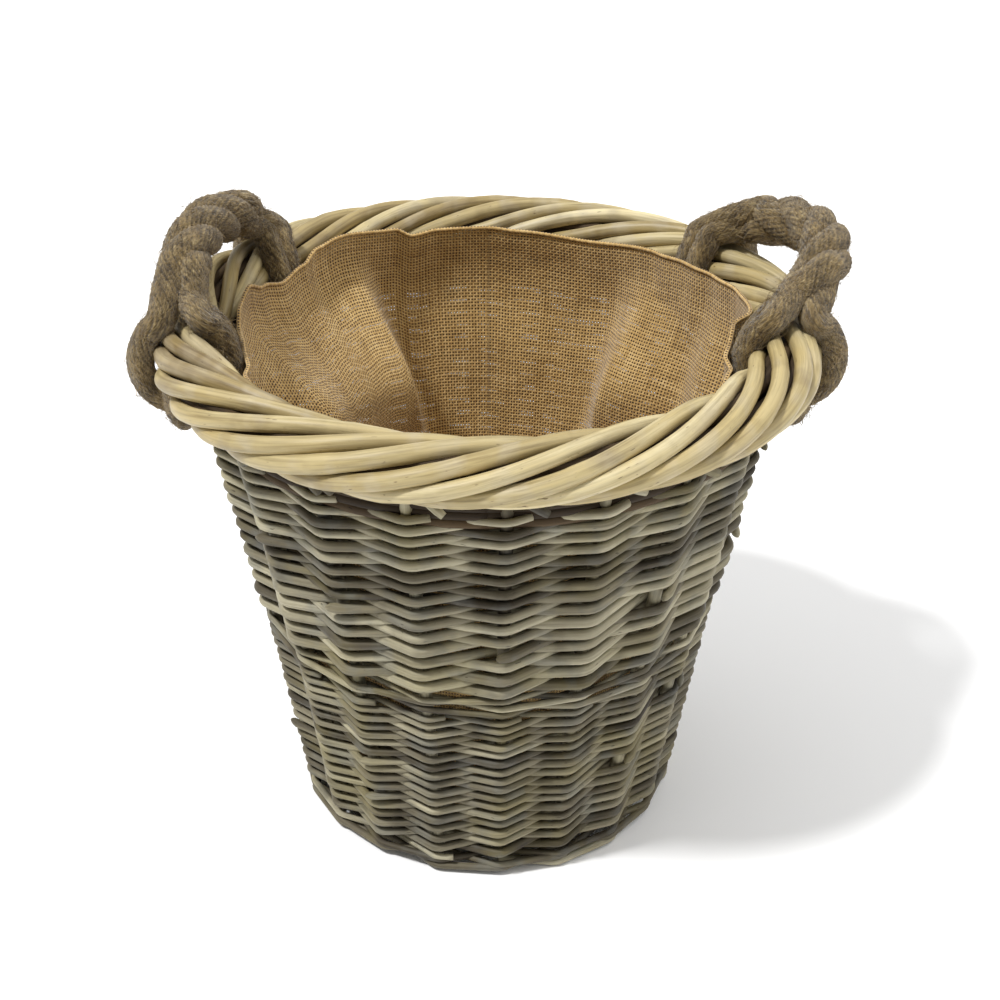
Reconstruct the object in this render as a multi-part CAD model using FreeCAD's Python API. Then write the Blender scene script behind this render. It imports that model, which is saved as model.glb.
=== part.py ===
import FreeCAD, Part
import math
import os

from FreeCAD import Vector

# Round willow log basket with a rolled border, two rope handles and a hessian lining.
# Millimetres, +Z up. The origin is on the floor at the middle of the foot ring.
# Angles are measured from -Y (the front) towards +X.

# --- driving dimensions -------------------------------------------------------------------
STAKES = 20
STAKE_ANGLE = 3.5          # the first stake stands this far from the front
STAKE_STEP = 360.0 / STAKES
STAKE_RADIUS = 4.0

WALL_FOOT_RADIUS = 137.0   # outside of the weave over a stake, at the floor
WALL_SLOPE = 0.125
WALL_FLARE = 0.000115
STAKE_INSET = 9.5          # outside of the weave to the middle of a stake
WEAVE_DEPTH = 19.0         # through the wall at a stake
BAY_HALF_DEPTH = 4.5       # half the wall midway between two stakes

FOOT_TOP = 16.0
WAIST_BOTTOM = 150.0
WAIST_TOP = 168.0
WALE_BOTTOM = 318.0
WALE_TOP = 330.0
FOOT_INNER_RADIUS = 118.0

BORDER_RADIUS = 190.0      # middle of the border's section
BORDER_HEIGHT = 347.0
BORDER_HALF_WIDTH = 24.0
BORDER_HALF_HEIGHT = 18.5

BUTT_HEIGHT = 13.0         # stakes and base sticks lie at this height in the base
BUTT_START = 72.0
PRICK_RADIUS = 10.0        # bend where a stake turns up
STAKE_TOP = 336.0

STICK_RADIUS = 5.0
STICK_REACH = 117.0
STICK_SPACING = 10.5
TONGUE_HEIGHT = 4.0        # the through sticks are pared to this in the middle
BASE_BOTTOM = 5.5
BASE_TOP = 20.5
BASE_RADIUS = FOOT_INNER_RADIUS

LINER_THICKNESS = 1.5
LINER_GAP = 1.0
LINER_FLOOR = 21.5
LINER_NECK_RADIUS = 151.0  # passes inside the handles' strands
LINER_SHOULDER = 300.0
LINER_NECK = 335.0
LINER_TOP = 362.0

STRAND_RADIUS = 7.0        # one strand of the rope, in an eye
EYE_CLEARANCE = 0.3
HINGE_HEIGHT = 375.5       # the grips swing about a line through the tops of their eyes
KNUCKLE_RADIUS = 9.0       # ball at each end of a grip
KNUCKLE_TAPER = 22.0       # from the ball to the full rope
EYE_OPENING = 24.0         # the eye's two arms stop this far from the ball's centre
GRIP_RADIUS = 15.5
HANDLES = {
    # name: (front eye, back eye, climb at the ends, lean outwards), all in degrees
    "left": (-77.5, -127.0, 29.0, 32.0),
    "right": (79.5, 122.5, 51.0, 66.0),
}


def wall_radius(height):
    """Outside of the weave over a stake."""
    return WALL_FOOT_RADIUS + WALL_SLOPE * height + WALL_FLARE * height * height


def at(radius, angle, height):
    """A point by its radius, its angle from the front and its height."""
    turn = math.radians(angle)
    return Vector(radius * math.sin(turn), -radius * math.cos(turn), height)


def stake_angle(number):
    return STAKE_ANGLE + STAKE_STEP * number


def tube(edges, radius):
    """A round rod along a chain of lines and arcs."""
    path = Part.Wire(edges)
    first = path.OrderedEdges[0]
    start = first.valueAt(first.FirstParameter)
    heading = first.tangentAt(first.FirstParameter)
    if path.OrderedVertexes[0].Point.distanceToPoint(start) > 1e-6:
        start = first.valueAt(first.LastParameter)
        heading = first.tangentAt(first.LastParameter)
    ring = Part.Wire(Part.makeCircle(radius, start, heading))
    return path.makePipeShell([ring], True, False, 2)


# --- stakes -------------------------------------------------------------------------------
def stake(number):
    """A side stake: its butt lies in the base, then it is pricked up and follows the wall."""
    angle = stake_angle(number)
    lean = math.atan(WALL_SLOPE)
    bend_top = BUTT_HEIGHT + PRICK_RADIUS * (1 - math.sin(lean))
    wall_start = wall_radius(bend_top) - STAKE_INSET
    bend_start = wall_start - PRICK_RADIUS * math.cos(lean)
    half_turn = (math.pi / 2 - lean) / 2
    bend_middle = at(
        bend_start + PRICK_RADIUS * math.sin(half_turn),
        angle,
        BUTT_HEIGHT + PRICK_RADIUS * (1 - math.cos(half_turn)),
    )
    rise = STAKE_TOP - bend_top
    run = wall_radius(STAKE_TOP) - STAKE_INSET - wall_start
    chord = math.hypot(rise, run)
    turning = 2 * (math.atan2(run, rise) - lean)
    sag = chord / 2 * math.tan(turning / 4)
    wall_middle = at(
        wall_start + run / 2 - sag * rise / chord,
        angle,
        bend_top + rise / 2 + sag * run / chord,
    )
    low = at(wall_start, angle, bend_top)
    top = at(wall_start + run, angle, STAKE_TOP)
    butt = Part.LineSegment(at(BUTT_START, angle, BUTT_HEIGHT), at(bend_start, angle, BUTT_HEIGHT))
    bend = Part.Arc(at(bend_start, angle, BUTT_HEIGHT), bend_middle, low)
    wall = Part.Arc(low, wall_middle, top)
    return tube([butt.toShape(), bend.toShape(), wall.toShape()], STAKE_RADIUS)


# --- base ---------------------------------------------------------------------------------
def fanned_stick(spread, offset, facing):
    """A base stick that runs straight across the middle and fans out at both ends.

    facing is the direction of its middle stretch, offset how far that lies from the centre,
    and spread the angle between an end and the facing direction.
    """
    bend_at = offset / math.tan(math.radians(spread)) if spread else 0.0
    reach_along = STICK_REACH * math.cos(math.radians(spread))
    reach_across = STICK_REACH * math.sin(math.radians(spread))
    points = [(reach_along, reach_across), (-reach_along, reach_across)]
    if spread:
        points = [points[0], (bend_at, offset), (-bend_at, offset), points[1]]
    turn = math.radians(facing)
    place = [
        Vector(
            a * math.cos(turn) - b * math.sin(turn),
            a * math.sin(turn) + b * math.cos(turn),
            BUTT_HEIGHT,
        )
        for a, b in points
    ]
    spans = [Part.LineSegment(p, q).toShape() for p, q in zip(place, place[1:])]
    rods = [
        Part.makeCylinder(
            STICK_RADIUS,
            span.Length,
            span.valueAt(span.FirstParameter),
            span.tangentAt(span.FirstParameter),
        )
        for span in spans
    ]
    joints = [Part.makeSphere(STICK_RADIUS, p) for p in place[1:-1]]
    return rods[0].multiFuse(rods[1:] + joints).removeSplitter() if joints else rods[0]


def base_sticks():
    """Three split sticks along Y and two pared sticks pushed through their slits along X."""
    turn = stake_angle(0) + STAKE_STEP / 2
    split = [
        fanned_stick(0.0, 0.0, 90 + turn),
        fanned_stick(36.0, STICK_SPACING, 90 + turn),
        fanned_stick(-36.0, -STICK_SPACING, 90 + turn),
    ]
    through = [
        fanned_stick(18.0, STICK_SPACING / 2, turn),
        fanned_stick(-18.0, -STICK_SPACING / 2, turn),
    ]
    cross = STICK_SPACING + STICK_RADIUS + 1.0
    slab = Part.makeBox(2 * cross, 4 * cross, STICK_RADIUS, Vector(-cross, -2 * cross, 0))
    upper = slab.translated(Vector(0, 0, BUTT_HEIGHT + TONGUE_HEIGHT / 2))
    lower = slab.translated(Vector(0, 0, BUTT_HEIGHT - TONGUE_HEIGHT / 2 - STICK_RADIUS))
    for side in (upper, lower):
        side.rotate(Vector(0, 0, 0), Vector(0, 0, 1), turn)
    through = [stick.cut(upper).cut(lower) for stick in through]
    split = [stick.cut(through[0]).cut(through[1]) for stick in split]
    return split + through


def base_weave(cut_by):
    """The woven base, a disc with the sticks and the stakes' butts let into it."""
    disc = Part.makeCylinder(BASE_RADIUS, BASE_TOP - BASE_BOTTOM, Vector(0, 0, BASE_BOTTOM))
    return disc.cut(Part.makeCompound(cut_by))


# --- weave --------------------------------------------------------------------------------
def zigzag_outline(height, over_stake, between_stakes):
    """A closed outline with a corner at every stake and one midway between stakes."""
    points = []
    for number in range(STAKES):
        points.append(at(over_stake, stake_angle(number), height))
        points.append(at(between_stakes, stake_angle(number) + STAKE_STEP / 2, height))
    return Part.makePolygon(points + points[:1])


def weave_band(heights):
    """A band of weaving: deep where rods pass round a stake, thin between the stakes."""
    middle = math.cos(math.radians(STAKE_STEP / 2))
    outer = []
    inner = []
    for height in heights:
        over = wall_radius(height)
        bay = (over - STAKE_INSET) * middle
        outer.append(zigzag_outline(height, over, bay + BAY_HALF_DEPTH))
        inner.append(zigzag_outline(height, over - WEAVE_DEPTH, bay - BAY_HALF_DEPTH))
    return Part.makeLoft(outer, True, True).cut(Part.makeLoft(inner, True, True))


def foot_wale():
    """The ring that the basket stands on, a straight-sided polygon outside."""
    middle = math.cos(math.radians(STAKE_STEP / 2))
    outer = [
        zigzag_outline(height, wall_radius(height), wall_radius(height) * middle)
        for height in (0.0, FOOT_TOP)
    ]
    hole = Part.makeCylinder(FOOT_INNER_RADIUS, FOOT_TOP)
    return Part.makeLoft(outer, True, True).cut(hole)


def border():
    """The rolled border, an oval section carried round the rim."""
    centre = Vector(BORDER_RADIUS, 0, BORDER_HEIGHT)
    oval = Part.Ellipse(
        centre + Vector(BORDER_HALF_WIDTH, 0, 0),
        centre + Vector(0, 0, BORDER_HALF_HEIGHT),
        centre,
    )
    return Part.Face(Part.Wire(oval.toShape())).revolve(Vector(), Vector(0, 0, 1), 360)


# --- lining -------------------------------------------------------------------------------
def liner():
    """The hessian bag: a cup that follows the wall and draws in under the border."""
    inset = WEAVE_DEPTH + LINER_GAP
    levels = [LINER_FLOOR, WAIST_BOTTOM, LINER_SHOULDER]
    outside = [(wall_radius(z) - inset, z) for z in levels]
    outside += [(LINER_NECK_RADIUS, LINER_NECK), (LINER_NECK_RADIUS, LINER_TOP)]
    inside = [(r - LINER_THICKNESS, z) for r, z in reversed(outside)]
    inside[-1] = (inside[-1][0], LINER_FLOOR + LINER_THICKNESS)
    profile = [(0, LINER_FLOOR)] + outside + inside + [(0, LINER_FLOOR + LINER_THICKNESS)]
    corners = [Vector(r, 0, z) for r, z in profile]
    face = Part.Face(Part.makePolygon(corners + corners[:1]))
    return face.revolve(Vector(), Vector(0, 0, 1), 360)


# --- handles ------------------------------------------------------------------------------
def hinge_point(angle):
    return at(BORDER_RADIUS, angle, HINGE_HEIGHT)


def eye(angle):
    """The strands that hold the rope: down both sides of the border and joined below it."""
    ring_radius = BORDER_HALF_HEIGHT + STRAND_RADIUS + EYE_CLEARANCE
    straight = BORDER_HALF_WIDTH - BORDER_HALF_HEIGHT
    centre = at(BORDER_RADIUS, angle, BORDER_HEIGHT)
    out = at(1.0, angle, 0)
    up = Vector(0, 0, 1)

    def corner(side, rise):
        return centre + out * (straight * side) + up * (ring_radius * rise)

    outer_side = Part.Arc(corner(1, 1), centre + out * (straight + ring_radius), corner(1, -1))
    inner_side = Part.Arc(corner(-1, -1), centre - out * (straight + ring_radius), corner(-1, 1))
    path = [
        Part.LineSegment(corner(-1, 1), corner(1, 1)).toShape(),
        outer_side.toShape(),
        Part.LineSegment(corner(1, -1), corner(-1, -1)).toShape(),
        inner_side.toShape(),
    ]
    return tube(path, STRAND_RADIUS).cut(Part.makeSphere(EYE_OPENING, hinge_point(angle)))


def grip(front, back, climb, lean):
    """The rope grip: a ball over each eye, a taper, and one arc between them."""
    first = hinge_point(front)
    last = hinge_point(back)
    span = last - first
    chord = span.Length
    along = span.normalize()
    away = at(1.0, (front + back) / 2, 0)
    tilt = math.radians(lean)
    rise = away * math.sin(tilt) + Vector(0, 0, math.cos(tilt))
    climb_turn = math.radians(climb)
    step_along = KNUCKLE_TAPER * math.cos(climb_turn)
    step_up = KNUCKLE_TAPER * math.sin(climb_turn)
    arc_radius = (chord / 2 - step_along) / math.sin(climb_turn)
    peak = step_up + arc_radius * (1 - math.cos(climb_turn))
    start = first + along * step_along + rise * step_up
    end = first + along * (chord - step_along) + rise * step_up
    top = first + along * (chord / 2) + rise * peak
    pieces = [tube([Part.Arc(start, top, end).toShape()], GRIP_RADIUS)]
    for ball, foot in ((first, start), (last, end)):
        taper = Part.makeCone(KNUCKLE_RADIUS, GRIP_RADIUS, KNUCKLE_TAPER, ball, foot - ball)
        pieces += [Part.makeSphere(KNUCKLE_RADIUS, ball), taper]
    return pieces[0].multiFuse(pieces[1:])


# --- assembly -----------------------------------------------------------------------------
def build():
    nodes = {}
    stakes = [stake(number) for number in range(STAKES)]
    sticks = base_sticks()
    eyes = {}
    for side, (front, back, climb, lean) in HANDLES.items():
        eyes[f"{side}_front_eye"] = eye(front)
        eyes[f"{side}_back_eye"] = eye(back)
        nodes[f"{side}_grip"] = grip(front, back, climb, lean)
    in_wall = Part.makeCompound(stakes + list(eyes.values()))
    rim = border()
    low_middle = (FOOT_TOP + WAIST_BOTTOM) / 2
    high_middle = (WAIST_TOP + WALE_BOTTOM) / 2
    nodes["foot_wale"] = foot_wale().cut(in_wall)
    nodes["lower_siding"] = weave_band([FOOT_TOP, low_middle, WAIST_BOTTOM]).cut(in_wall)
    nodes["waist_wale"] = weave_band([WAIST_BOTTOM, WAIST_TOP]).cut(in_wall)
    nodes["upper_siding"] = weave_band([WAIST_TOP, high_middle, WALE_BOTTOM]).cut(in_wall)
    nodes["top_wale"] = weave_band([WALE_BOTTOM, WALE_TOP]).cut(in_wall).cut(rim)
    nodes["rolled_border"] = rim.cut(Part.makeCompound(stakes))
    nodes["hessian_liner"] = liner()
    nodes["base_weave"] = base_weave(stakes + sticks)
    for number, rod in enumerate(stakes, 1):
        nodes[f"side_stake_{number:02d}"] = rod
    for number, rod in enumerate(sticks, 1):
        nodes[f"base_stick_{number}"] = rod
    nodes.update(eyes)
    return nodes


os.makedirs("parts", exist_ok=True)
for name, shape in build().items():
    box = shape.BoundBox
    print(
        f"{name:16s} solids {len(shape.Solids)} valid {shape.isValid()}"
        f" volume {shape.Volume / 1000:8.1f} cm3"
        f" x {box.XMin:7.1f} {box.XMax:7.1f} y {box.YMin:7.1f} {box.YMax:7.1f}"
        f" z {box.ZMin:6.1f} {box.ZMax:6.1f}"
    )
    shape.exportStep(f"parts/{name}.step")
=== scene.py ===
import math
import random

import bpy
import numpy as np
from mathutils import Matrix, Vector


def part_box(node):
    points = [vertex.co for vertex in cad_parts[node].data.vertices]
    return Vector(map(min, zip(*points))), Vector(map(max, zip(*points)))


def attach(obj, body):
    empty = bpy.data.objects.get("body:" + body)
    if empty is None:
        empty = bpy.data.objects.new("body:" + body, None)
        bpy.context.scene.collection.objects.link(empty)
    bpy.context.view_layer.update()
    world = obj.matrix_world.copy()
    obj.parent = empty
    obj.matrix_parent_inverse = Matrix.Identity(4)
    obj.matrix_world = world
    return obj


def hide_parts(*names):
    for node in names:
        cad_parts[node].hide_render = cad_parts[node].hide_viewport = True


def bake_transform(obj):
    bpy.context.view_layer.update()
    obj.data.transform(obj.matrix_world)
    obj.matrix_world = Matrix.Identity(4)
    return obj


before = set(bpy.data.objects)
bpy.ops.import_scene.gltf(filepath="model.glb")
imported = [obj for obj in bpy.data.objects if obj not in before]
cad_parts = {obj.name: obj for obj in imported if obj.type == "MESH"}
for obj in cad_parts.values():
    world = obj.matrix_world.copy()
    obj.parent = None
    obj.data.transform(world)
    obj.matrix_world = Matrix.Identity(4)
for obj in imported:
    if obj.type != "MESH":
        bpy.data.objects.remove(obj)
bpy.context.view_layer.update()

RNG = random.Random(7)
BASKET = "basket"

# --- sizes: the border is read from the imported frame, the rest match the CAD ---------------
STAKES = 20
STAKE_STEP = 360.0 / STAKES
STAKE_RADIUS = 0.004
STAKE_ANGLE = 3.5           # degrees from the front (-Y) towards +X
BORDER_LOW, BORDER_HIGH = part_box("rolled_border")
BORDER_HEIGHT = (BORDER_LOW.z + BORDER_HIGH.z) / 2
BORDER_HALF_HEIGHT = (BORDER_HIGH.z - BORDER_LOW.z) / 2
BORDER_HALF_WIDTH = 0.024
BORDER_RADIUS = BORDER_HIGH.x - BORDER_HALF_WIDTH
FOOT_HIGH = 0.016
WAIST_LOW, WAIST_HIGH = 0.150, 0.168
WALE_LOW, WALE_HIGH = 0.318, 0.330


def wall_radius(z):
    """Outside of the weave over a stake, at height z."""
    return 0.137 + 0.125 * z + 0.115 * z * z


def stake_line(z):
    """Distance of a stake's middle from the axis at height z."""
    return wall_radius(z) - 0.0095


def polar(radius, degrees, z):
    """A point at a distance from the axis, an angle from the front and a height."""
    turn = math.radians(degrees)
    return np.array([radius * math.sin(turn), -radius * math.cos(turn), z])


# --- tubes --------------------------------------------------------------------------------
class Tubes:
    """Collects swept rods into one mesh, with each rod's tone and grain coordinates; where a rod has a
    profile, its tone also carries painted shade in the section's hollows and painted highlight on its
    ridges.
    """

    def __init__(self, name):
        self.name = name
        self.points, self.faces = [], []
        self.tone, self.grain = [], []
        self.count = 0

    def add(self, path, radius, sides=10, tone=None, profile=None):
        """Sweep a round section along the path and close both its ends."""
        path = np.asarray(path, float)
        n = len(path)
        radius = np.broadcast_to(np.asarray(radius, float), (n,)).copy()
        tangent = np.gradient(path, axis=0)
        tangent /= np.linalg.norm(tangent, axis=1)[:, None]
        side = np.cross(tangent[0], [0.0, 0.0, 1.0])
        if np.linalg.norm(side) < 0.2:
            side = np.cross(tangent[0], [1.0, 0.0, 0.0])
        side /= np.linalg.norm(side)
        sides_at = np.empty_like(path)
        for i in range(n):
            side = side - tangent[i] * (side @ tangent[i])
            side /= np.linalg.norm(side)
            sides_at[i] = side
        up_at = np.cross(tangent, sides_at)
        angle = np.arange(sides) * 2 * math.pi / sides
        run = np.concatenate([[0], np.cumsum(np.linalg.norm(np.diff(path, axis=0), axis=1))])
        if profile is None:
            spread = np.ones((n, sides))
        else:
            spread = profile(run[:, None], angle[None, :])
        reach = radius[:, None] * spread
        ring = (
            path[:, None, :]
            + sides_at[:, None, :] * (np.cos(angle)[None, :] * reach)[..., None]
            + up_at[:, None, :] * (np.sin(angle)[None, :] * reach)[..., None]
        )
        base = self.count
        self.points.append(ring.reshape(-1, 3))
        rows = np.arange(n - 1)[:, None] * sides
        cols = np.arange(sides)[None, :]
        after = (cols + 1) % sides
        quads = np.stack([rows + cols, rows + after, rows + sides + after, rows + sides + cols], -1)
        self.faces.append(quads.reshape(-1, 4) + base)
        tone = RNG.random() if tone is None else tone
        shift = RNG.random() * 7
        # Painted shade and highlight: with a profile, the tone drops where the section dips in and rises
        # where it swells out.
        self.tone.append((tone + 4.0 * (spread - spread.mean())).ravel())
        grain = np.stack(
            [
                np.broadcast_to(run[:, None] + shift, (n, sides)),
                reach * np.cos(angle)[None, :] + shift,
                reach * np.sin(angle)[None, :],
            ],
            -1,
        )
        self.grain.append(grain.reshape(-1, 3))
        middle = base + n * sides
        last = base + (n - 1) * sides
        around, beside = cols[0], after[0]
        start_cap = np.stack([base + beside, base + around, np.full(sides, middle)], -1)
        end_cap = np.stack([last + around, last + beside, np.full(sides, middle + 1)], -1)
        self.faces += [start_cap, end_cap]
        self.points.append(path[[0, -1]])
        self.tone.append(np.full(2, tone - 0.35))
        self.grain.append(grain[[0, -1], 0])
        self.count += n * sides + 2

    def build(self, material, slot, body=BASKET, replaces=()):
        mesh = bpy.data.meshes.new(self.name)
        faces = [tuple(f) for block in self.faces for f in block.tolist()]
        mesh.from_pydata(np.concatenate(self.points).tolist(), [], faces)
        mesh.update()
        mesh.shade_smooth()
        tone = mesh.attributes.new("tone", "FLOAT", "POINT")
        tone.data.foreach_set("value", np.concatenate(self.tone).astype(np.float32))
        grain = mesh.attributes.new("grain", "FLOAT_VECTOR", "POINT")
        grain.data.foreach_set("vector", np.concatenate(self.grain).astype(np.float32).ravel())
        mesh.materials.append(material)
        obj = bpy.data.objects.new(self.name, mesh)
        bpy.context.scene.collection.objects.link(obj)
        if replaces:
            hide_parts(*replaces)
        if body:
            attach(obj, body)
        return obj


def smooth(points, steps):
    """Catmull-Rom through the points, with steps samples a span."""
    p = np.asarray(points, float)
    p = np.concatenate([[2 * p[0] - p[1]], p, [2 * p[-1] - p[-2]]])
    t = np.arange(steps) / steps
    out = []
    for a, b, c, d in zip(p, p[1:], p[2:], p[3:]):
        x = t[:, None]
        out.append(
            0.5 * (2 * b + (c - a) * x + (2 * a - 5 * b + 4 * c - d) * x * x
                   + (3 * b - a - 3 * c + d) * x ** 3)
        )
    return np.concatenate(out + [p[-2][None]])


# --- materials ----------------------------------------------------------------------------
class Nodes:
    """Short names for the few shader nodes used here."""

    def __init__(self, name):
        self.material = bpy.data.materials.new(name)
        self.material.use_nodes = True
        self.tree = self.material.node_tree
        self.shader = self.tree.nodes["Principled BSDF"]

    def node(self, kind, **values):
        made = self.tree.nodes.new(kind)
        for key, value in values.items():
            if isinstance(value, bpy.types.NodeSocket):
                self.tree.links.new(value, made.inputs[key])
            elif key in made.inputs:
                made.inputs[key].default_value = value
            else:
                setattr(made, key, value)
        return made

    def attribute(self, name):
        return self.node("ShaderNodeAttribute", attribute_name=name)

    def scaled(self, vector, scale):
        made = self.node("ShaderNodeVectorMath", operation="MULTIPLY")
        self.tree.links.new(vector, made.inputs[0])
        made.inputs[1].default_value = scale
        return made.outputs[0]

    def noise(self, vector, scale, detail=3.0, roughness=0.55):
        made = self.node("ShaderNodeTexNoise", Scale=scale, Detail=detail, Roughness=roughness)
        self.tree.links.new(vector, made.inputs["Vector"])
        return made.outputs["Fac"]

    def ramp(self, value, stops):
        made = self.node("ShaderNodeValToRGB")
        self.tree.links.new(value, made.inputs["Fac"])
        elements = made.color_ramp.elements
        while len(elements) > 1:
            elements.remove(elements[-1])
        for i, (place, colour) in enumerate(stops):
            stop = elements[0] if i == 0 else elements.new(place)
            stop.position = place
            stop.color = (*colour, 1.0)
        return made.outputs["Color"]

    def math(self, operation, a, b=0.0):
        made = self.node("ShaderNodeMath", operation=operation)
        for i, value in enumerate((a, b)):
            if isinstance(value, bpy.types.NodeSocket):
                self.tree.links.new(value, made.inputs[i])
            else:
                made.inputs[i].default_value = value
        return made.outputs[0]

    def mix(self, factor, a, b, blend="MIX"):
        made = self.node("ShaderNodeMix", data_type="RGBA", blend_type=blend)
        for i, value in ((0, factor), (6, a), (7, b)):
            if isinstance(value, bpy.types.NodeSocket):
                self.tree.links.new(value, made.inputs[i])
            elif i == 0:
                made.inputs[i].default_value = value
            else:
                made.inputs[i].default_value = (*value, 1.0)
        return made.outputs[2]

    def bump(self, height, strength, distance):
        made = self.node("ShaderNodeBump", Strength=strength, Distance=distance)
        self.tree.links.new(height, made.inputs["Height"])
        return made.outputs["Normal"]

    def finish(self, colour, roughness, normal=None, specular=0.3):
        self.tree.links.new(colour, self.shader.inputs["Base Color"])
        if isinstance(roughness, bpy.types.NodeSocket):
            self.tree.links.new(roughness, self.shader.inputs["Roughness"])
        else:
            self.shader.inputs["Roughness"].default_value = roughness
        if normal is not None:
            self.tree.links.new(normal, self.shader.inputs["Normal"])
        self.shader.inputs["Specular IOR Level"].default_value = specular
        return self.material


def linear(r, g, b):
    """A colour given as 0-255 screen values, in the linear values that shaders use."""
    return tuple((c / 255 / 12.92) if c <= 10 else (((c / 255) + 0.055) / 1.055) ** 2.4
                 for c in (r, g, b))


def willow(name, tones, patches, dark, patch_amount, roughness=0.5, specular=0.35):
    """Willow rod: a tone for each rod, streaks along it, soft stains, and dark flecks."""
    n = Nodes(name)
    tone = n.attribute("tone").outputs["Fac"]
    grain = n.attribute("grain").outputs["Vector"]
    place = n.node("ShaderNodeTexCoord").outputs["Object"]
    streaks = n.noise(n.scaled(grain, (22.0, 520.0, 520.0)), 1.0, 4.0, 0.6)
    long_streaks = n.noise(n.scaled(grain, (6.0, 190.0, 190.0)), 1.0, 2.0)
    stains = n.noise(place, 26.0, 3.0)
    flecks = n.noise(n.scaled(grain, (160.0, 700.0, 700.0)), 1.0, 1.0)
    streaked = n.math("MULTIPLY", n.math("SUBTRACT", long_streaks, 0.5), 0.9)
    colour = n.ramp(n.math("ADD", tone, streaked), tones)
    for i, (shade, amount) in enumerate(patches):
        field = n.noise(n.scaled(place, (1.0 + i, 1.0, 1.3 + i)), 17.0 + 9 * i, 2.0)
        mask = n.ramp(field, [(0.50, (0, 0, 0)), (0.66, (1, 1, 1))])
        colour = n.mix(n.math("MULTIPLY", mask, amount), colour, shade)
    shade = n.ramp(streaks, [(0.28, (0.62, 0.60, 0.56)), (0.55, (1, 1, 1)), (0.8, (1.12, 1.10, 1.04))])
    colour = n.mix(1.0, colour, shade, "MULTIPLY")
    stain_mask = n.ramp(stains, [(0.30, (1, 1, 1)), (0.46, (0, 0, 0))])
    colour = n.mix(n.math("MULTIPLY", stain_mask, patch_amount), colour, dark)
    fleck_mask = n.ramp(flecks, [(0.22, (1, 1, 1)), (0.27, (0, 0, 0))])
    colour = n.mix(n.math("MULTIPLY", fleck_mask, 0.75), colour, dark)
    rough = n.math("ADD", n.math("MULTIPLY", streaks, 0.25), roughness - 0.12)
    height = n.math("ADD", n.math("MULTIPLY", streaks, 0.6), n.math("MULTIPLY", flecks, 0.3))
    return n.finish(colour, rough, n.bump(height, 0.35, 0.0006), specular)


BODY = willow(
    "weathered_willow",
    [(0.0, linear(62, 55, 42)), (0.35, linear(104, 97, 79)), (0.65, linear(134, 127, 105)),
     (1.0, linear(174, 167, 142))],
    [(linear(142, 132, 86), 0.35), (linear(112, 114, 110), 0.4)],
    linear(44, 36, 24), 0.45, 0.6, 0.28,
)
BORDER = willow(
    "border_willow",
    [(0.0, linear(128, 108, 70)), (0.35, linear(160, 142, 98)), (0.7, linear(186, 170, 126)),
     (1.0, linear(210, 197, 158))],
    [(linear(184, 163, 108), 0.35), (linear(184, 173, 149), 0.4)],
    linear(84, 64, 38), 0.34, 0.45, 0.35,
)
# Painted shade: very dark willow for the border's core rods, standing for the shade between the border
# rods, and for the rings below the border, standing for the shadow there.
SHADE_WILLOW = willow(
    "border_shade_willow",
    [(0.0, linear(46, 37, 26)), (1.0, linear(84, 68, 47))],
    [(linear(56, 45, 34), 0.5)],
    linear(30, 20, 14), 0.5, 0.7, 0.2,
)


# --- the woven wall -----------------------------------------------------------------------
def bay_point(index, share, offset, z):
    """A point in the bay after stake number index, share of the way to the next one.

    The line between two stakes is straight, and offset is measured square to it, outwards.
    """
    number = math.floor(index)
    radius = stake_line(z)
    first = polar(radius, STAKE_ANGLE + STAKE_STEP * number, z)
    second = polar(radius, STAKE_ANGLE + STAKE_STEP * (number + 1), z)
    out = polar(1.0, STAKE_ANGLE + STAKE_STEP * (number + 0.5), 0)
    corner_out = polar(1.0, STAKE_ANGLE + STAKE_STEP * (number + round(share)), 0)
    near_corner = max(0.0, abs(2 * share - 1) - 0.88) / 0.12
    direction = out * (1 - near_corner) + corner_out * near_corner
    return first + (second - first) * share + direction * offset


BAY_SHARES = [0.0, 0.05, 0.11, 0.24, 0.41, 0.59, 0.76, 0.89, 0.95]


def weave_path(start, strokes, sides, heights, thickness, inset=0.0):
    """A rod's path past strokes stakes; sides[k] is +1 in front and -1 behind."""
    path = []
    for k in range(strokes):
        last = k == strokes - 1
        for share in BAY_SHARES if not last else BAY_SHARES[:4]:
            reach = STAKE_RADIUS + thickness[k] * 0.5 - 0.0003
            a, b = sides[k], sides[k + 1]
            crossed = share if a == b else min(1.0, max(0.0, (share - 0.03) / 0.94))
            corner = 0.03 * (1 - min(1, min(share, 1 - share) / 0.05))
            value = a + (b - a) * crossed
            z = heights[k] + (heights[k + 1] - heights[k]) * share
            path.append(bay_point(start + k, share, reach * value * (1 - corner) - inset, z))
    return np.array(path)


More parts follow.
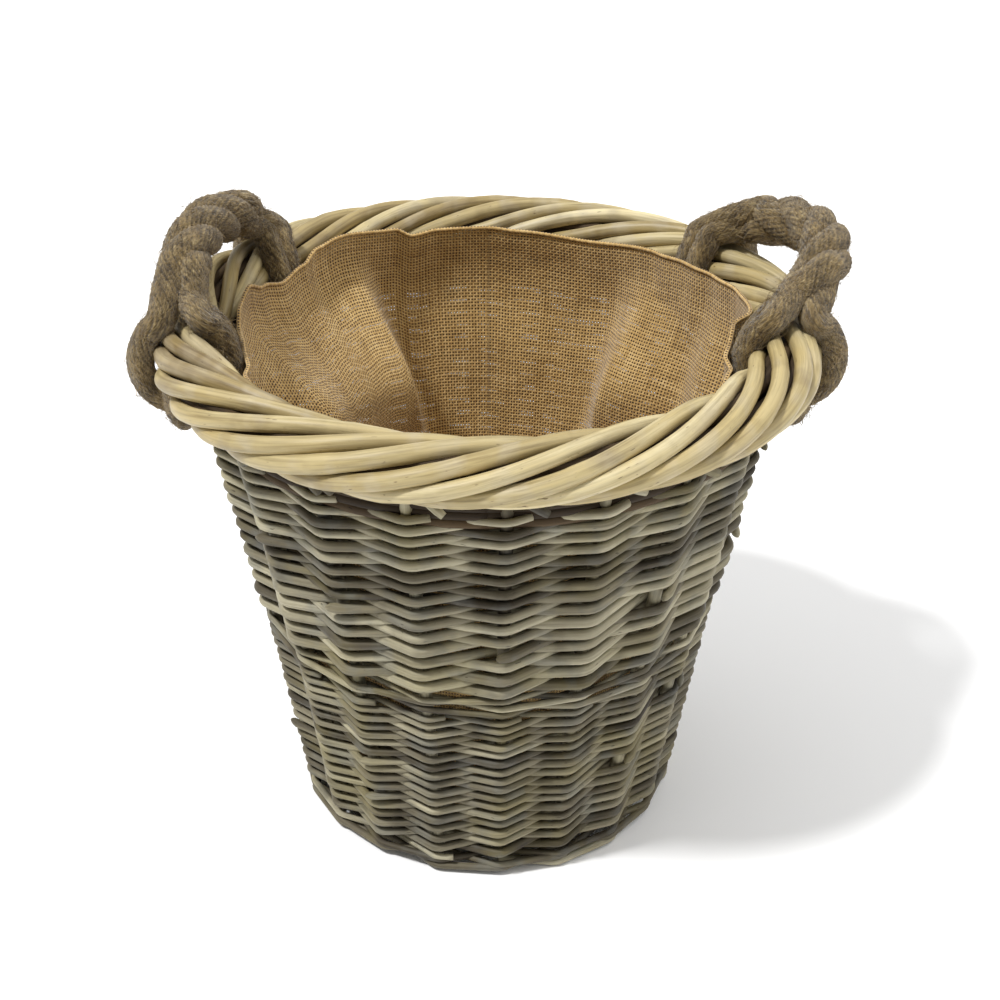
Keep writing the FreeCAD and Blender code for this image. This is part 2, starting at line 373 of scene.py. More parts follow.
def randing(name, low, high, front_strokes, butt, tip, replaces):
    """French randing: a weaver from every stake, in front of one and behind one, climbing."""
    tubes = Tubes(name)
    strokes = 2 * front_strokes
    spans = np.array([butt + (tip - butt) * k / strokes for k in range(strokes + 1)])
    rises = np.concatenate([[0], np.cumsum(spans[:-1])])
    rises = low + butt / 2 + (rises / rises[-1]) * (high - low - (butt + tip) / 2)
    for weaver in range(STAKES):
        fat = 1 + RNG.uniform(-0.12, 0.12)
        tone = RNG.random()
        jitter = [RNG.gauss(0, 0.00045) for _ in range(strokes + 2)]
        heights = [rises[min(k, strokes)] + jitter[k] for k in range(strokes + 1)]
        thickness = [spans[min(k, strokes)] * 1.12 * fat for k in range(strokes + 1)]
        sides = [1 if k % 2 else -1 for k in range(strokes + 1)]
        cuts = [0]
        if RNG.random() < 0.6:
            cuts.append(RNG.choice(range(5, strokes - 6, 2)))
        cuts.append(strokes)
        for first, last in zip(cuts, cuts[1:]):
            count = last - first
            path = weave_path(
                weaver + first, count, sides[first:last + 1], heights[first:last + 1],
                thickness[first:last + 1],
            )
            wide = np.interp(
                np.linspace(0, count, len(path)), range(count + 1), thickness[first:last + 1]
            )
            wide *= 1 + 0.05 * np.sin(np.linspace(0, 40, len(path)) + weaver)
            shade = min(1, max(0, tone + RNG.uniform(-0.2, 0.2)))
            if first:
                lift = polar(0.0026, STAKE_ANGLE + STAKE_STEP * (weaver + first), 0.0008)
                path[:4] += lift * np.array([1.0, 0.9, 0.7, 0.3])[:, None]
                step = path[2] - path[0]
                path = np.concatenate([path[:1] - step * 0.75, path[:1] - step * 0.35, path])
                wide = np.concatenate([wide[:1] * 0.35, wide[:1] * 0.85, wide])
            tubes.add(path, wide / 2, 10, shade)
    return tubes.build(BODY, "body_willow", replaces=replaces)


WALE_REPEAT = 3             # a wale rod passes behind every third stake


def waling(name, low, high, rods, rounds, thick, replaces, jitter=0.0004, inset=0.0):
    """Waling: a few rods, each in front of some stakes and behind one, in smooth rows."""
    tubes = Tubes(name)
    strokes = int(STAKES * rounds)
    for rod in range(rods):
        start = int(round(rod * STAKES / rods))
        climb = (high - low - thick) / strokes
        heights = [low + thick / 2 + climb * k + RNG.gauss(0, jitter) for k in range(strokes + 1)]
        phase = rod % WALE_REPEAT
        sides = [-1 if (start + k + phase) % WALE_REPEAT == 0 else 1 for k in range(strokes + 1)]
        thickness = [thick * (1.05 - 0.2 * k / strokes) for k in range(strokes + 1)]
        path = weave_path(start, strokes, sides, heights, thickness, inset)
        wide = np.linspace(thickness[0], thickness[-1], len(path))
        tubes.add(path, wide / 2, 10)
    return tubes.build(BODY, "body_willow", replaces=replaces)


randing("lower_randing", FOOT_HIGH, WAIST_LOW + 0.003, 16, 0.0050, 0.0038, ["lower_siding"])
randing("upper_randing", WAIST_HIGH - 0.001, WALE_LOW - 0.001, 15, 0.0062, 0.0046, ["upper_siding"])
waling("foot_waling", 0.0008, FOOT_HIGH + 0.001, 4, 1.0, 0.0052, ["foot_wale"])
waling("waist_waling", WAIST_LOW + 0.001, WAIST_HIGH + 0.001, 4, 1.1, 0.0042, ["waist_wale"], 0.0008)
waling("top_waling", WALE_LOW, WALE_HIGH, 3, 0.9, 0.0046, ["top_wale"], 0.0008, 0.0032)


# --- stakes and base ----------------------------------------------------------------------
BUTT_Z = 0.013
STICK_REACH = 0.117
STICK_RADIUS = 0.005


def side_stakes():
    """Upright stakes: each lies in the base, turns up and runs inside the wall."""
    tubes = Tubes("side_stakes")
    for number in range(STAKES):
        angle = STAKE_ANGLE + STAKE_STEP * number
        turn_in = stake_line(BUTT_Z + 0.0088) - 0.0099
        path = [polar(0.072 + (turn_in - 0.072) * k / 5, angle, BUTT_Z) for k in range(6)]
        for k in range(1, 5):
            bend = math.radians(20.7 * k)
            out = turn_in + 0.010 * math.sin(bend)
            path.append(polar(out, angle, BUTT_Z + 0.010 * (1 - math.cos(bend))))
        path += [polar(stake_line(z), angle, z) for z in np.linspace(0.035, 0.336, 18)]
        tubes.add(path, STAKE_RADIUS, 12)
    names = [f"side_stake_{number:02d}" for number in range(1, STAKES + 1)]
    return tubes.build(BODY, "stake_willow", replaces=names)


def base_sticks():
    """Five sticks crossed in the middle, their ten ends fanned out evenly."""
    tubes = Tubes("base_sticks")
    facing = STAKE_ANGLE + STAKE_STEP / 2
    fans = [(0, 0, 90), (36, 0.0105, 90), (-36, -0.0105, 90), (18, 0.00525, 0), (-18, -0.00525, 0)]
    for spread, offset, quarter in fans:
        turn = math.radians(facing + quarter)
        lean = math.radians(spread)
        middle = offset / math.tan(lean) if spread else 0.03
        flat = [
            (STICK_REACH * math.cos(lean), STICK_REACH * math.sin(lean)), (middle, offset),
            (-middle, offset), (-STICK_REACH * math.cos(lean), STICK_REACH * math.sin(lean)),
        ]
        path = [
            (a * math.cos(turn) - b * math.sin(turn), a * math.sin(turn) + b * math.cos(turn), BUTT_Z)
            for a, b in flat
        ]
        path = smooth(path, 8)
        away = np.hypot(path[:, 0], path[:, 1])
        pared = STICK_RADIUS if quarter else np.interp(away, [0.018, 0.028], [0.0024, STICK_RADIUS])
        tubes.add(path, pared, 12)
    names = [f"base_stick_{number}" for number in range(1, 6)]
    return tubes.build(BODY, "stake_willow", replaces=names)


def base_pairing():
    """Two rods twisted round the sticks in a spiral, from the middle out to the foot."""
    tubes = Tubes("base_pairing")
    thick, pitch, inner, outer = 0.0046, 0.0058, 0.021, 0.1165
    rounds = (outer - inner) / pitch
    steps = int(rounds * 120)
    for weaver in (1, -1):
        path = []
        for k in range(steps + 1):
            turns = rounds * k / steps
            angle = STAKE_ANGLE + STAKE_STEP / 2 + 360 * turns
            wave = max(-1.0, min(1.0, 1.5 * math.cos(math.radians(5 * 360 * turns)))) * weaver
            path.append(polar(inner + pitch * turns, angle, BUTT_Z + 0.0056 * wave))
        tubes.add(path, thick / 2, 8)
    return tubes.build(BODY, "body_willow", replaces=["base_weave"])


def border_stubs():
    """Cut ends of stakes and rods that slant out below the border."""
    tubes = Tubes("border_stubs")
    for number in range(STAKES):
        for twin in range(RNG.choice((1, 1, 2))):
            angle = STAKE_ANGLE + STAKE_STEP * number + RNG.uniform(-3.0, 1.0) - 2.2 * twin
            reach = RNG.uniform(5.5, 8.5)
            drop = RNG.uniform(0.010, 0.017)
            thick = RNG.uniform(0.0052, 0.0066)
            path = []
            for k in range(7):
                share = k / 6
                z = 0.338 - drop * share - 0.002 * twin
                path.append(polar(wall_radius(z) - 0.004 + 0.0095 * share, angle + reach * share, z))
            tubes.add(path, [thick / 2] * 6 + [thick * 0.42], 10)
    return tubes.build(BODY, "body_willow")


side_stakes()
base_sticks()
base_pairing()
border_stubs()


# --- the rolled border --------------------------------------------------------------------
EYE_ANGLES = (-77.5, -127.0, 79.5, 122.5)
BORDER_RODS = 30
BORDER_ROD = 0.0105
TURN_ARC = 93.0             # degrees round the rim that a rod takes to go round the border
# Heights and size of the dark rings that paint the shadow under the border.
SHADOW_RING_HEIGHTS = (0.307, 0.313, 0.319, 0.325, 0.331, 0.337, 0.343)
SHADOW_RING_RADIUS = 0.0036


def border_point(angle, around, share_out, share_up):
    """A point of the border's section carried round to that angle, drawn in at the rope's eyes."""
    turn = math.radians(around)
    away = min(abs((angle - eye + 180) % 360 - 180) for eye in EYE_ANGLES)
    drawn = 1 - 0.24 * math.exp(-((away / 8.0) ** 2))
    radius = BORDER_RADIUS + BORDER_HALF_WIDTH * share_out * drawn * math.cos(turn)
    height = BORDER_HEIGHT + BORDER_HALF_HEIGHT * share_up * math.sin(turn)
    return polar(radius, angle, height)


def border_rods():
    """Rods laid side by side round the rim, each turning once about the border."""
    tubes = Tubes("border_rods")
    for rod in range(BORDER_RODS):
        thick = BORDER_ROD * (1 + RNG.uniform(-0.08, 0.08))
        begin = rod * 360.0 / BORDER_RODS + RNG.uniform(-1.2, 1.2)
        knots = sorted(RNG.uniform(0.1, 0.9) for _ in range(3))
        path, wide = [], []
        samples = 72
        wave = RNG.uniform(0, 6.28)
        for i in range(samples + 1):
            t = i / samples
            around = -118 + 366 * t + 2.5 * math.sin(7 * t + wave)
            share_out = 1 - thick / 2 / BORDER_HALF_WIDTH
            share_up = 1 - thick / 2 / BORDER_HALF_HEIGHT
            sunk = 1 - 0.16 * max(0.0, 1 - min(t, 1 - t) / 0.06)
            path.append(border_point(begin + TURN_ARC * t, around, share_out * sunk, share_up * sunk))
            lump = sum(0.06 * math.exp(-((t - k) / 0.012) ** 2) for k in knots)
            wide.append(thick / 2 * (1.04 - 0.10 * t + lump))
        tubes.add(path, wide, 16, RNG.uniform(0.15, 0.95))
    return tubes.build(BORDER, "border_willow", replaces=["rolled_border"])


def border_core():
    """The rods inside the border, dark as painted shade between the border rods, and dark rings as a
    painted shadow in the gap below it.
    """
    tubes = Tubes("border_core")
    for around in range(0, 360, 45):
        wave = RNG.uniform(0, 6.28)
        path = []
        for i in range(181):
            angle = i * 2.0
            wobble = around + 14 * math.sin(math.radians(angle * 3) + wave)
            path.append(border_point(angle, wobble, 0.44, 0.36))
        path[-1] = path[0]
        tubes.add(path, 0.0047, 8)
    # Painted shadow: dark rings in the gap under the border.
    for low in SHADOW_RING_HEIGHTS:
        ring = [polar(stake_line(low) - 0.0008, i * 2.0, low) for i in range(181)]
        tubes.add(ring, SHADOW_RING_RADIUS, 8)
    return tubes.build(SHADE_WILLOW, "border_willow")


border_rods()
border_core()


# --- hessian ------------------------------------------------------------------------------
THREAD_PITCH = 0.0023


def hessian():
    """Plain-woven hessian: round threads both ways, uneven, with open holes between them, and painted
    shade darkening the holes and the threads' edges.
    """
    n = Nodes("hessian_cloth")
    cloth = n.attribute("grain").outputs["Vector"]
    place = n.node("ShaderNodeTexCoord").outputs["Object"]
    parts = n.node("ShaderNodeSeparateXYZ")
    wander = n.node("ShaderNodeTexNoise", Scale=38.0, Detail=2.0)
    n.tree.links.new(cloth, wander.inputs["Vector"])
    shift = n.node("ShaderNodeVectorMath", operation="SCALE", Scale=0.0004)
    n.tree.links.new(wander.outputs["Color"], shift.inputs[0])
    moved = n.node("ShaderNodeVectorMath", operation="ADD")
    n.tree.links.new(cloth, moved.inputs[0])
    n.tree.links.new(shift.outputs[0], moved.inputs[1])
    n.tree.links.new(moved.outputs[0], parts.inputs[0])
    waves = []
    for axis in ("X", "Y"):
        turn = n.math("MULTIPLY", parts.outputs[axis], math.pi / THREAD_PITCH)
        waves.append(n.math("SINE", turn))
    across, along = (n.math("ABSOLUTE", wave) for wave in waves)
    over = n.math("MULTIPLY", waves[0], waves[1])
    warp_tone = n.noise(n.scaled(cloth, (430.0, 30.0, 1.0)), 1.0, 1.0)
    weft_tone = n.noise(n.scaled(cloth, (30.0, 430.0, 1.0)), 1.0, 1.0)
    uneven = n.noise(n.scaled(cloth, (60.0, 300.0, 1.0)), 1.0, 3.0)
    cover = n.math("MAXIMUM", across, along)
    thick = n.math("ADD", cover, n.math("MULTIPLY", n.math("SUBTRACT", uneven, 0.5), 0.55))
    solid = n.ramp(thick, [(0.20, (0, 0, 0)), (0.28, (1, 1, 1))])
    tone = n.math("ADD", n.math("MULTIPLY", warp_tone, 0.5), n.math("MULTIPLY", weft_tone, 0.5))
    colour = n.ramp(tone, [(0.25, linear(156, 124, 70)), (0.5, linear(192, 160, 102)),
                           (0.75, linear(220, 192, 138))])
    blotch = n.ramp(n.noise(place, 14.0, 3.0), [(0.35, (0.90, 0.88, 0.84)), (0.65, (1.04, 1.04, 1.03))])
    colour = n.mix(1.0, colour, blotch, "MULTIPLY")
    # Painted shade: the colour darkens towards the holes between the threads, as if shadow lay in them.
    hole_shade = n.ramp(thick, [(0.42, linear(26, 14, 5)), (0.64, linear(140, 116, 86)),
                            (0.84, (1.04, 1.04, 1.04))])
    colour = n.mix(1.0, colour, hole_shade, "MULTIPLY")
    height = n.math("ADD", cover, n.math("MULTIPLY", over, 0.35))
    n.tree.links.new(solid, n.shader.inputs["Alpha"])
    n.shader.inputs["Sheen Weight"].default_value = 0.25
    n.shader.inputs["Sheen Roughness"].default_value = 0.6
    return n.finish(colour, 0.92, n.bump(height, 0.55, 0.0012), 0.15)


HESSIAN = hessian()

# The hem, once round the rim: angle from the front in degrees, then distance from the axis
# and height in millimetres.
HEM = [
    (-180, 157, 355), (-167, 157, 355), (-160, 156, 353), (-155, 157, 359), (-139, 156, 363),
    (-131, 156, 360), (-125, 153, 354), (-116, 153, 350), (-108, 156, 355), (-100, 157, 363),
    (-93, 158, 358), (-84, 157, 349), (-76, 156, 347), (-66, 160, 344), (-48, 162, 339),
    (-20, 162, 337), (10, 162, 337), (35, 163, 341), (54, 165, 345), (64, 162, 351),
    (71, 158, 355), (78, 160, 361), (86, 165, 364), (98, 163, 362), (108, 158, 361),
    (118, 154, 360), (131, 156, 357), (155, 157, 351), (172, 157, 353),
]
# Folds of slack cloth. Each runs between two angles and eases in and out over its own widths:
# (from, easing, to, easing, depth, top, fullest, bottom, slant in degrees a metre of height)
FOLDS = [
    (-157, 8, -74, 34, 0.055, 0.354, 0.262, 0.120, 95),
    (98, 42, 150, 14, 0.040, 0.352, 0.252, 0.130, -60),
    (66, 10, 92, 16, 0.012, 0.350, 0.290, 0.160, 60),
    (96, 9, 116, 10, 0.009, 0.350, 0.290, 0.170, 40),
    (-40, 22, 10, 22, 0.012, 0.330, 0.220, 0.090, 0),
    (20, 20, 62, 20, 0.014, 0.335, 0.230, 0.090, 0),
    (158, 12, 200, 16, 0.007, 0.335, 0.260, 0.120, 0),
]
# Where the rope's inner strands push the cloth in.
STRAND_ANGLES = (-76.0, -121.5, 74.0, 122.5)
LINER_FLOOR_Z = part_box("hessian_liner")[0].z + 0.0012


def around_rim(angle, column):
    """A value of the hem at an angle, smoothly between the hem's points."""
    knots = HEM[-2:] + HEM + HEM[:2]
    turns = [-360, -360] + [0] * len(HEM) + [360, 360]
    places = [k[0] + t for k, t in zip(knots, turns)]
    for i in range(1, len(places) - 2):
        if places[i] <= angle < places[i + 1]:
            break
    share = (angle - places[i]) / (places[i + 1] - places[i])
    later = share * share * (3 - 2 * share)
    return (knots[i][column] * (1 - later) + knots[i + 1][column] * later) / 1000


def eased(value):
    """0 to 1, slow at both ends, for a value that runs from 0 to 1."""
    value = np.clip(value, 0, 1)
    return value * value * (3 - 2 * value)


def liner_radius(angle, z, hem_radius, hem_z):
    """Distance of the cloth from the axis at an angle and a height."""
    loose = wall_radius(z) - 0.0206
    rise = eased((z - 0.285) / (hem_z - 0.285))
    radius = loose * (1 - rise) + hem_radius * rise
    for start, ease_in, end, ease_out, depth, top, fullest, bottom, slant in FOLDS:
        middle = (start + end) / 2
        off = (angle - slant * (z - fullest) - middle + 180) % 360 - 180
        half = (end - start) / 2
        across = eased((off + half) / ease_in) * eased((half - off) / ease_out)
        height = np.where(z > fullest, (top - z) / (top - fullest), (z - bottom) / (fullest - bottom))
        radius = radius - depth * across * eased(height)
    for strand in STRAND_ANGLES:
        away = abs((angle - strand + 180) % 360 - 180)
        press = eased((10.5 - away) / 5.5) * eased((z - 0.285) / 0.022)
        radius = radius - np.maximum(0, radius - 0.1545) * press
    ripple = 0.0011 + 0.0007 * np.sin(np.radians(angle * 11 + 40 + 260 * z)) + 0.0004 * np.sin(
        np.radians(angle * 19 - 180 * z))
    return radius - ripple * eased((z - 0.05) / 0.1) * eased((0.335 - z) / 0.03)


def liner():
    """The hessian bag inside the basket, hanging slack from its hem in soft folds."""
    columns, rows, rings = 480, 150, 16
    angles = np.arange(columns) * 360 / columns - 180
    grid = np.zeros((rows + rings, columns, 3))
    cloth = np.zeros((rows + rings, columns, 3))
    edge = []
    for c, angle in enumerate(angles):
        hem_radius = around_rim(angle, 1)
        hem_z = around_rim(angle, 2)
        z = hem_z + (LINER_FLOOR_Z - hem_z) * np.linspace(0, 1, rows)
        radius = liner_radius(angle, z, hem_radius, hem_z)
        corner = eased((0.045 - z) / 0.022)
        radius = radius - 0.010 * corner
        turn = math.radians(angle)
        column = np.stack([radius * math.sin(turn), -radius * math.cos(turn), z], -1)
        for k in range(rings):
            share = 1 - (k + 1) / rings
            inner = radius[-1] * share
            wrinkle = 0.0007 * math.sin(math.radians(angle * 5)) * share
            point = [[inner * math.sin(turn), -inner * math.cos(turn), LINER_FLOOR_Z + abs(wrinkle)]]
            column = np.concatenate([column, point])
        grid[:, c] = column
        edge.append(column[0])
    around = np.linalg.norm(np.diff(grid, axis=1, append=grid[:, :1]), axis=2)
    along = np.concatenate([[np.zeros(columns)],
                            np.cumsum(np.linalg.norm(np.diff(grid, axis=0), axis=2), axis=0)])
    girth = np.concatenate([[0], np.cumsum(around[12])[:-1]])
    cloth[..., 0] = girth[None, :]
    cloth[..., 1] = along
    points = grid.reshape(-1, 3).tolist()
    faces = []
    for r in range(rows + rings - 1):
        for c in range(columns):
            d = (c + 1) % columns
            faces.append((r * columns + c, r * columns + d, (r + 1) * columns + d, (r + 1) * columns + c))
    mesh = bpy.data.meshes.new("hessian_bag")
    mesh.from_pydata(points, [], faces)
    grain = mesh.attributes.new("grain", "FLOAT_VECTOR", "POINT")
    grain.data.foreach_set("vector", cloth.astype(np.float32).ravel())
    mesh.materials.append(HESSIAN)
    mesh.shade_smooth()
    bag = bpy.data.objects.new("hessian_bag", mesh)
    bpy.context.scene.collection.objects.link(bag)
    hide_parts("hessian_liner")
    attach(bag, BASKET)
    hem = Tubes("hessian_hem")
    edge = np.array(edge + edge[:1])
    edge[:, 2] -= 0.0006
    hem.add(edge, 0.0013, 8, 0.5)
    hem_object = hem.build(HESSIAN, "hessian")
    depth = along[rows - 1].mean()
    floor_radius = np.hypot(*grid[rows - 1, 0, :2])
    width = float(girth[-1])
    area = width * depth * 0.88 + math.pi * floor_radius ** 2
    return bag, hem_object, width, float(depth + floor_radius), area


BAG, HEM_OBJECT, BAG_WIDTH, BAG_DEPTH, BAG_AREA = liner()


# --- rope handles -------------------------------------------------------------------------
def jute():
    """Dark hairy jute: yarns along each strand, lighter loose fibres, and painted shade between the yarns
    with painted highlight on their ridges.
    """
    n = Nodes("dark_jute")
    tone = n.attribute("tone").outputs["Fac"]
    grain = n.attribute("grain").outputs["Vector"]
    place = n.node("ShaderNodeTexCoord").outputs["Object"]
    fibres = n.noise(n.scaled(grain, (90.0, 1500.0, 1500.0)), 1.0, 3.0, 0.7)
    clumps = n.noise(place, 170.0, 4.0, 0.65)
    colour = n.ramp(
        n.math("ADD", n.math("MULTIPLY", fibres, 0.55), n.math("MULTIPLY", clumps, 0.45)),
        [(0.32, linear(44, 33, 17)), (0.44, linear(98, 80, 48)), (0.55, linear(144, 123, 82)),
         (0.68, linear(190, 171, 127))],
    )
    # Painted shade and highlight: the tone, low between the yarns and high on their ridges, darkens or
    # lightens the colour; the loose fibres' random tone lightens them.
    lift = n.ramp(tone, [(0.10, (0.26, 0.24, 0.21)), (0.55, (1.0, 1.0, 1.0)), (1.0, (1.62, 1.56, 1.46))])
    colour = n.mix(1.0, colour, lift, "MULTIPLY")
    n.shader.inputs["Sheen Weight"].default_value = 0.35
    n.shader.inputs["Sheen Roughness"].default_value = 0.5
    return n.finish(colour, 0.95, n.bump(fibres, 0.9, 0.0020), 0.1)


JUTE = jute()
STRAND = 0.0102
EYE_STRAND = 0.0084         # the strands are thinner where they part for an eye
STRAND_INSET = 0.0064       # a strand's middle lies this far from the rope's
ROPE_LAY = 0.090
YARNS = 17
YARN_LAY = 0.075
HINGE_Z = 0.3755
TAPER = 0.022
# In degrees: the front eye's outer and inner arms, the back eye's, climb at the ends,
# lean outwards, and the angles at which the front and back eyes hold the border.
HANDLES = {
    "left": (-78.5, -76.0, -127.5, -122.0, 29.0, 32.0, (-77.5, -127.0)),
    "right": (80.5, 74.0, 123.0, 122.5, 51.0, 66.0, (79.5, 122.5)),
}
TWIST = {"left": 0.6, "right": 2.4}


def yarn_profile(run, angle):
    """Yarns laid round a strand: rounded ridges with narrow grooves between them."""
    wave = np.abs(np.sin((angle + run * 2 * math.pi / YARN_LAY) * YARNS / 2))
    knots = 0.022 * np.sin(run * 1250 + 4 * angle) * np.sin(run * 540 - 7 * angle)
    lumps = 0.03 * np.sin(run * 170 + 2 * angle) * np.sin(run * 95 - angle)
    return 0.895 + 0.125 * wave ** 0.8 + 1.5 * knots + lumps


def grip_line(name):
    """Points along the middle of a grip, from its front eye to its back eye."""
    *_, climb, lean, (front, back) = HANDLES[name]
    first = polar(BORDER_RADIUS, front, HINGE_Z)
    last = polar(BORDER_RADIUS, back, HINGE_Z)
    chord = np.linalg.norm(last - first)
    along = (last - first) / chord
    away = polar(1.0, (front + back) / 2, 0)
    tilt = math.radians(lean)
    rise = away * math.sin(tilt) + np.array([0, 0, math.cos(tilt)])
    turn = math.radians(climb)
    step_along, step_up = TAPER * math.cos(turn), TAPER * math.sin(turn)
    arc = (chord / 2 - step_along) / math.sin(turn)
    points = []
    for i in range(31):
        a = -turn + 2 * turn * i / 30
        points.append(first + along * (chord / 2 + arc * math.sin(a))
                      + rise * (step_up + arc * (math.cos(a) - math.cos(turn))))
    return np.array(points)


def arm(angle_outer, angle_inner, outward, side_step):
    """Points of one arm of an eye, from below the border up to where the strands meet."""
    if outward:
        steps = [(185, 317, 0.15), (199, 315, 0.05), (210, 321, 0.0), (217, 333, 0.0), (217, 348, 0.0),
                 (211, 361, 0.1), (202, 371, 0.25)]
        sweep = [(r, z, angle_outer + (angle_inner - angle_outer) * s) for r, z, s in steps]
    else:
        steps = [(185, 317, 0.6), (174, 320, 0.9), (166, 330, 1.0), (164, 343, 1.0), (166, 355, 0.95),
                 (172, 366, 0.85), (180, 374, 0.6)]
        sweep = [(r, z, angle_outer + (angle_inner - angle_outer) * s + side_step) for r, z, s in steps]
    return [polar(r / 1000, angle, z / 1000) for r, z, angle in sweep]


def rope_handle(name):
    """Three strands laid as one grip, parting at each end into an eye round the border."""
    outer_a, inner_a, outer_b, inner_b, *_, eyes = HANDLES[name]
    line = grip_line(name)
    run = np.concatenate([[0], np.cumsum(np.linalg.norm(np.diff(line, axis=0), axis=1))])
    tangent = np.gradient(line, axis=0)
    tangent /= np.linalg.norm(tangent, axis=1)[:, None]
    normal = np.cross(tangent[0], line[-1] - line[0])
    normal /= np.linalg.norm(normal)
    binormal = np.cross(tangent, normal)
    halves = {"front": Tubes(f"{name}_rope_front"), "back": Tubes(f"{name}_rope_back")}
    for strand in range(3):
        phase = strand * 2 * math.pi / 3 + TWIST[name]
        twist = phase + run / ROPE_LAY * 2 * math.pi
        helix = line + STRAND_INSET * (
            normal * np.cos(twist)[:, None] + binormal * np.sin(twist)[:, None])
        side_a = {0: 0, 1: -1.8, 2: 1.8}[strand]
        side_b = {0: 0, 1: 1.8, 2: -1.8}[strand]
        start = arm(outer_a, inner_a, strand == 0, side_a)
        finish_arm = arm(outer_b, inner_b, strand == 0, side_b)
        path = smooth(start + list(helix[2:-2:2]) + finish_arm[::-1], 12)
        length = np.concatenate([[0], np.cumsum(np.linalg.norm(np.diff(path, axis=0), axis=1))])
        even = np.linspace(0, length[-1], int(length[-1] / 0.0013))
        path = np.stack([np.interp(even, length, path[:, i]) for i in range(3)], -1)
        middle = len(path) // 2
        to_end = np.minimum(even, even[-1] - even)
        wide = EYE_STRAND + (STRAND - EYE_STRAND) * eased((to_end - 0.070) / 0.035)
        for half, kept in (("front", slice(0, middle + 1)), ("back", slice(middle, None))):
            halves[half].add(path[kept], wide[kept], 85, 0.5, profile=yarn_profile)
            fuzz(halves[half], path[kept], wide[kept])
    rope_tail(halves["front"], eyes[0])
    for half, tubes in halves.items():
        made = tubes.build(JUTE, "rope", body=None,
                           replaces=[f"{name}_grip", f"{name}_{half}_eye"])
        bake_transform(made)


def rope_tail(tubes, eye):
    """The cut end of the rope, left standing out below the border in front of its front eye."""
    for drop in (0.0, 0.005):
        way = -math.copysign(1.0, eye)
        path = [polar(0.199 - drop / 2, eye + way * step * 1.5, 0.323 - drop - 0.0012 * step)
                for step in range(6)]
        path = smooth(path, 6)
        wide = np.interp(np.linspace(0, 1, len(path)), [0, 0.8, 1], [0.0082, 0.0080, 0.0050])
        tubes.add(path, wide, 40, 0.5, profile=yarn_profile)
        fuzz(tubes, path, wide)


def fuzz(tubes, path, wide):
    """Loose fibres standing off a strand."""
    count = int(len(path) * 9)
    tangent = np.gradient(path, axis=0)
    tangent /= np.linalg.norm(tangent, axis=1)[:, None]
    for _ in range(count):
        i = RNG.randrange(3, len(path) - 3)
        out = np.array([RNG.gauss(0, 1) for _ in range(3)])
        out -= tangent[i] * (out @ tangent[i])
        out /= np.linalg.norm(out)
        sideways = np.cross(tangent[i], out) * RNG.choice((-1, 1))
        root = path[i] + out * wide[i] * 0.93
        size = RNG.choice((RNG.uniform(0.002, 0.006), RNG.uniform(0.004, 0.012)))
        lift = RNG.uniform(0.02, 0.42)
        way = tangent[i] * RNG.choice((-1, 1)) * RNG.uniform(0.4, 1) + sideways * RNG.uniform(-0.8, 0.8)
        way /= np.linalg.norm(way)
        points = [root + way * size * s + out * size * lift * math.sin(2.6 * s)
                  for s in (0, 0.35, 0.7, 1.0)]
        tubes.add(np.array(points), [0.00014, 0.00012, 0.00009, 0.00004], 3, RNG.uniform(0.6, 1.5))


for handle in HANDLES:
    rope_handle(handle)


# --- stage --------------------------------------------------------------------------------
CAMERA_DISTANCE = 1.067
CAMERA_ELEVATION = 32.6
LOOK_AT = Vector((0.0, 0.0, 0.170))


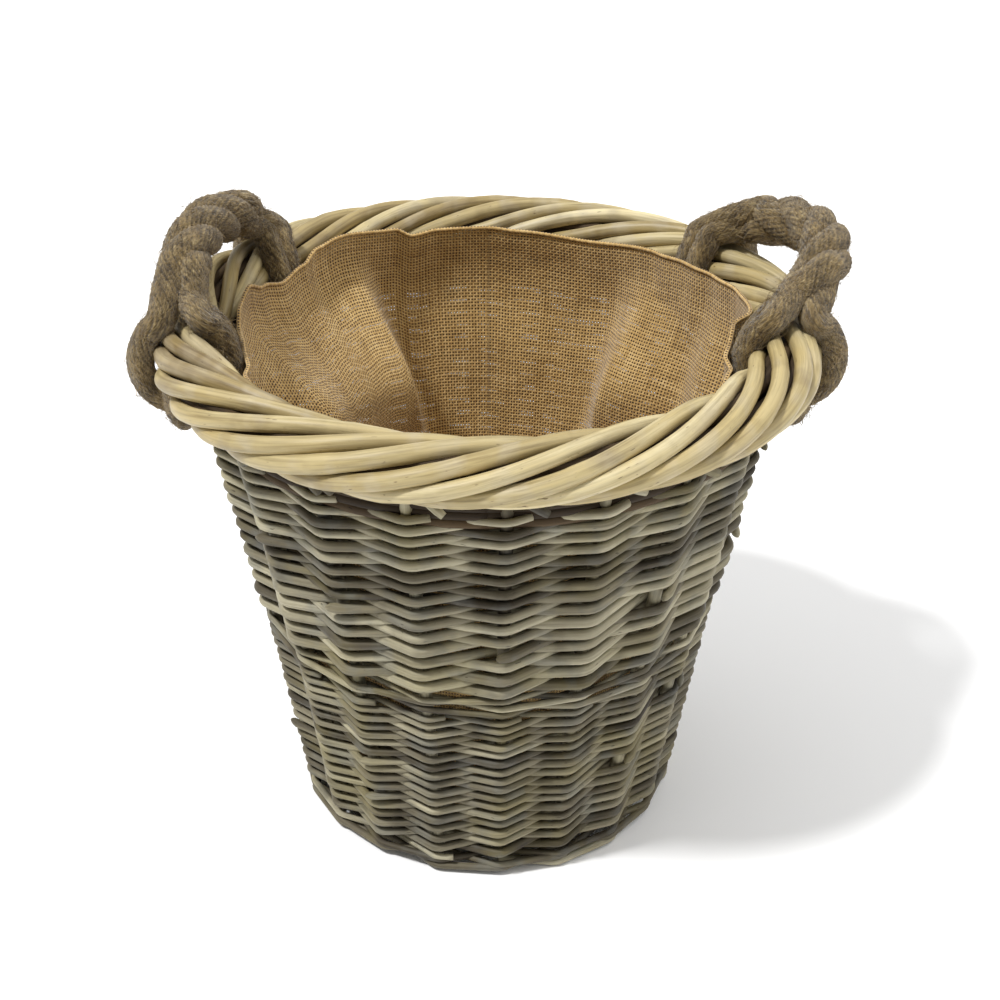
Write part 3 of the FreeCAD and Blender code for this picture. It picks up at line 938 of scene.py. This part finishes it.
def sky():
    """Soft studio light: brightest overhead, dimmer from the front where the room is dark."""
    world = bpy.data.worlds.new("studio")
    world.use_nodes = True
    tree = world.node_tree

    def add(kind, **values):
        made = tree.nodes.new(kind)
        for key, value in values.items():
            setattr(made, key, value)
        return made

    parts = add("ShaderNodeSeparateXYZ")
    tree.links.new(add("ShaderNodeTexCoord").outputs["Generated"], parts.inputs[0])
    height = add("ShaderNodeMapRange")
    height.inputs["To Min"].default_value = 0.28
    height.inputs["To Max"].default_value = 1.30
    tree.links.new(parts.outputs["Z"], height.inputs["Value"])
    front = add("ShaderNodeMapRange")
    front.inputs["From Min"].default_value = -1.0
    front.inputs["From Max"].default_value = 0.3
    front.inputs["To Min"].default_value = 0.12
    front.inputs["To Max"].default_value = 1.0
    tree.links.new(parts.outputs["Y"], front.inputs["Value"])
    product = add("ShaderNodeMath", operation="MULTIPLY")
    tree.links.new(height.outputs[0], product.inputs[0])
    tree.links.new(front.outputs[0], product.inputs[1])
    background = tree.nodes["Background"]
    background.inputs["Color"].default_value = (1.0, 1.0, 1.0, 1.0)
    tree.links.new(product.outputs[0], background.inputs["Strength"])
    bpy.context.scene.world = world


def sun(azimuth, elevation, strength, spread):
    """A broad distant light; azimuth is measured from the front towards +X."""
    data = bpy.data.lights.new("sun", "SUN")
    data.energy = strength
    data.angle = math.radians(spread)
    made = bpy.data.objects.new("sun", data)
    flat = math.cos(math.radians(elevation))
    aim = -Vector(polar(flat, azimuth, math.sin(math.radians(elevation))))
    made.rotation_euler = aim.to_track_quat("-Z", "Y").to_euler()
    bpy.context.scene.collection.objects.link(made)


def stage():
    """A plain pale floor with a soft sky, a key light from the left and a fill from the right."""
    bpy.ops.mesh.primitive_plane_add(size=30, location=(0, 0, 0))
    floor = bpy.context.object
    floor.name = "floor"
    n = Nodes("floor_paper")
    grain = n.noise(n.node("ShaderNodeTexCoord").outputs["Object"], 3.0)
    n.finish(n.ramp(grain, [(0, (0.96, 0.96, 0.96)), (1, (0.97, 0.97, 0.97))]), 0.9, None, 0.1)
    floor.data.materials.append(n.material)
    sky()
    sun(azimuth=-61, elevation=61, strength=2.8, spread=7)
    sun(azimuth=75, elevation=38, strength=0.9, spread=70)


def camera():
    """The viewpoint in front of the basket, looking down on it."""
    data = bpy.data.cameras.new("camera")
    data.sensor_width = 36.0
    data.lens = 36.0 * 1.524
    data.shift_x = 0.01275
    data.shift_y = 0.0602
    made = bpy.data.objects.new("camera", data)
    rise = math.radians(CAMERA_ELEVATION)
    back = Vector((0, -math.cos(rise), math.sin(rise)))
    made.location = LOOK_AT + back * CAMERA_DISTANCE
    made.rotation_euler = (-back).to_track_quat("-Z", "Y").to_euler()
    bpy.context.scene.collection.objects.link(made)
    bpy.context.scene.camera = made


stage()
camera()
scene = bpy.context.scene
scene.view_settings.view_transform = "Standard"
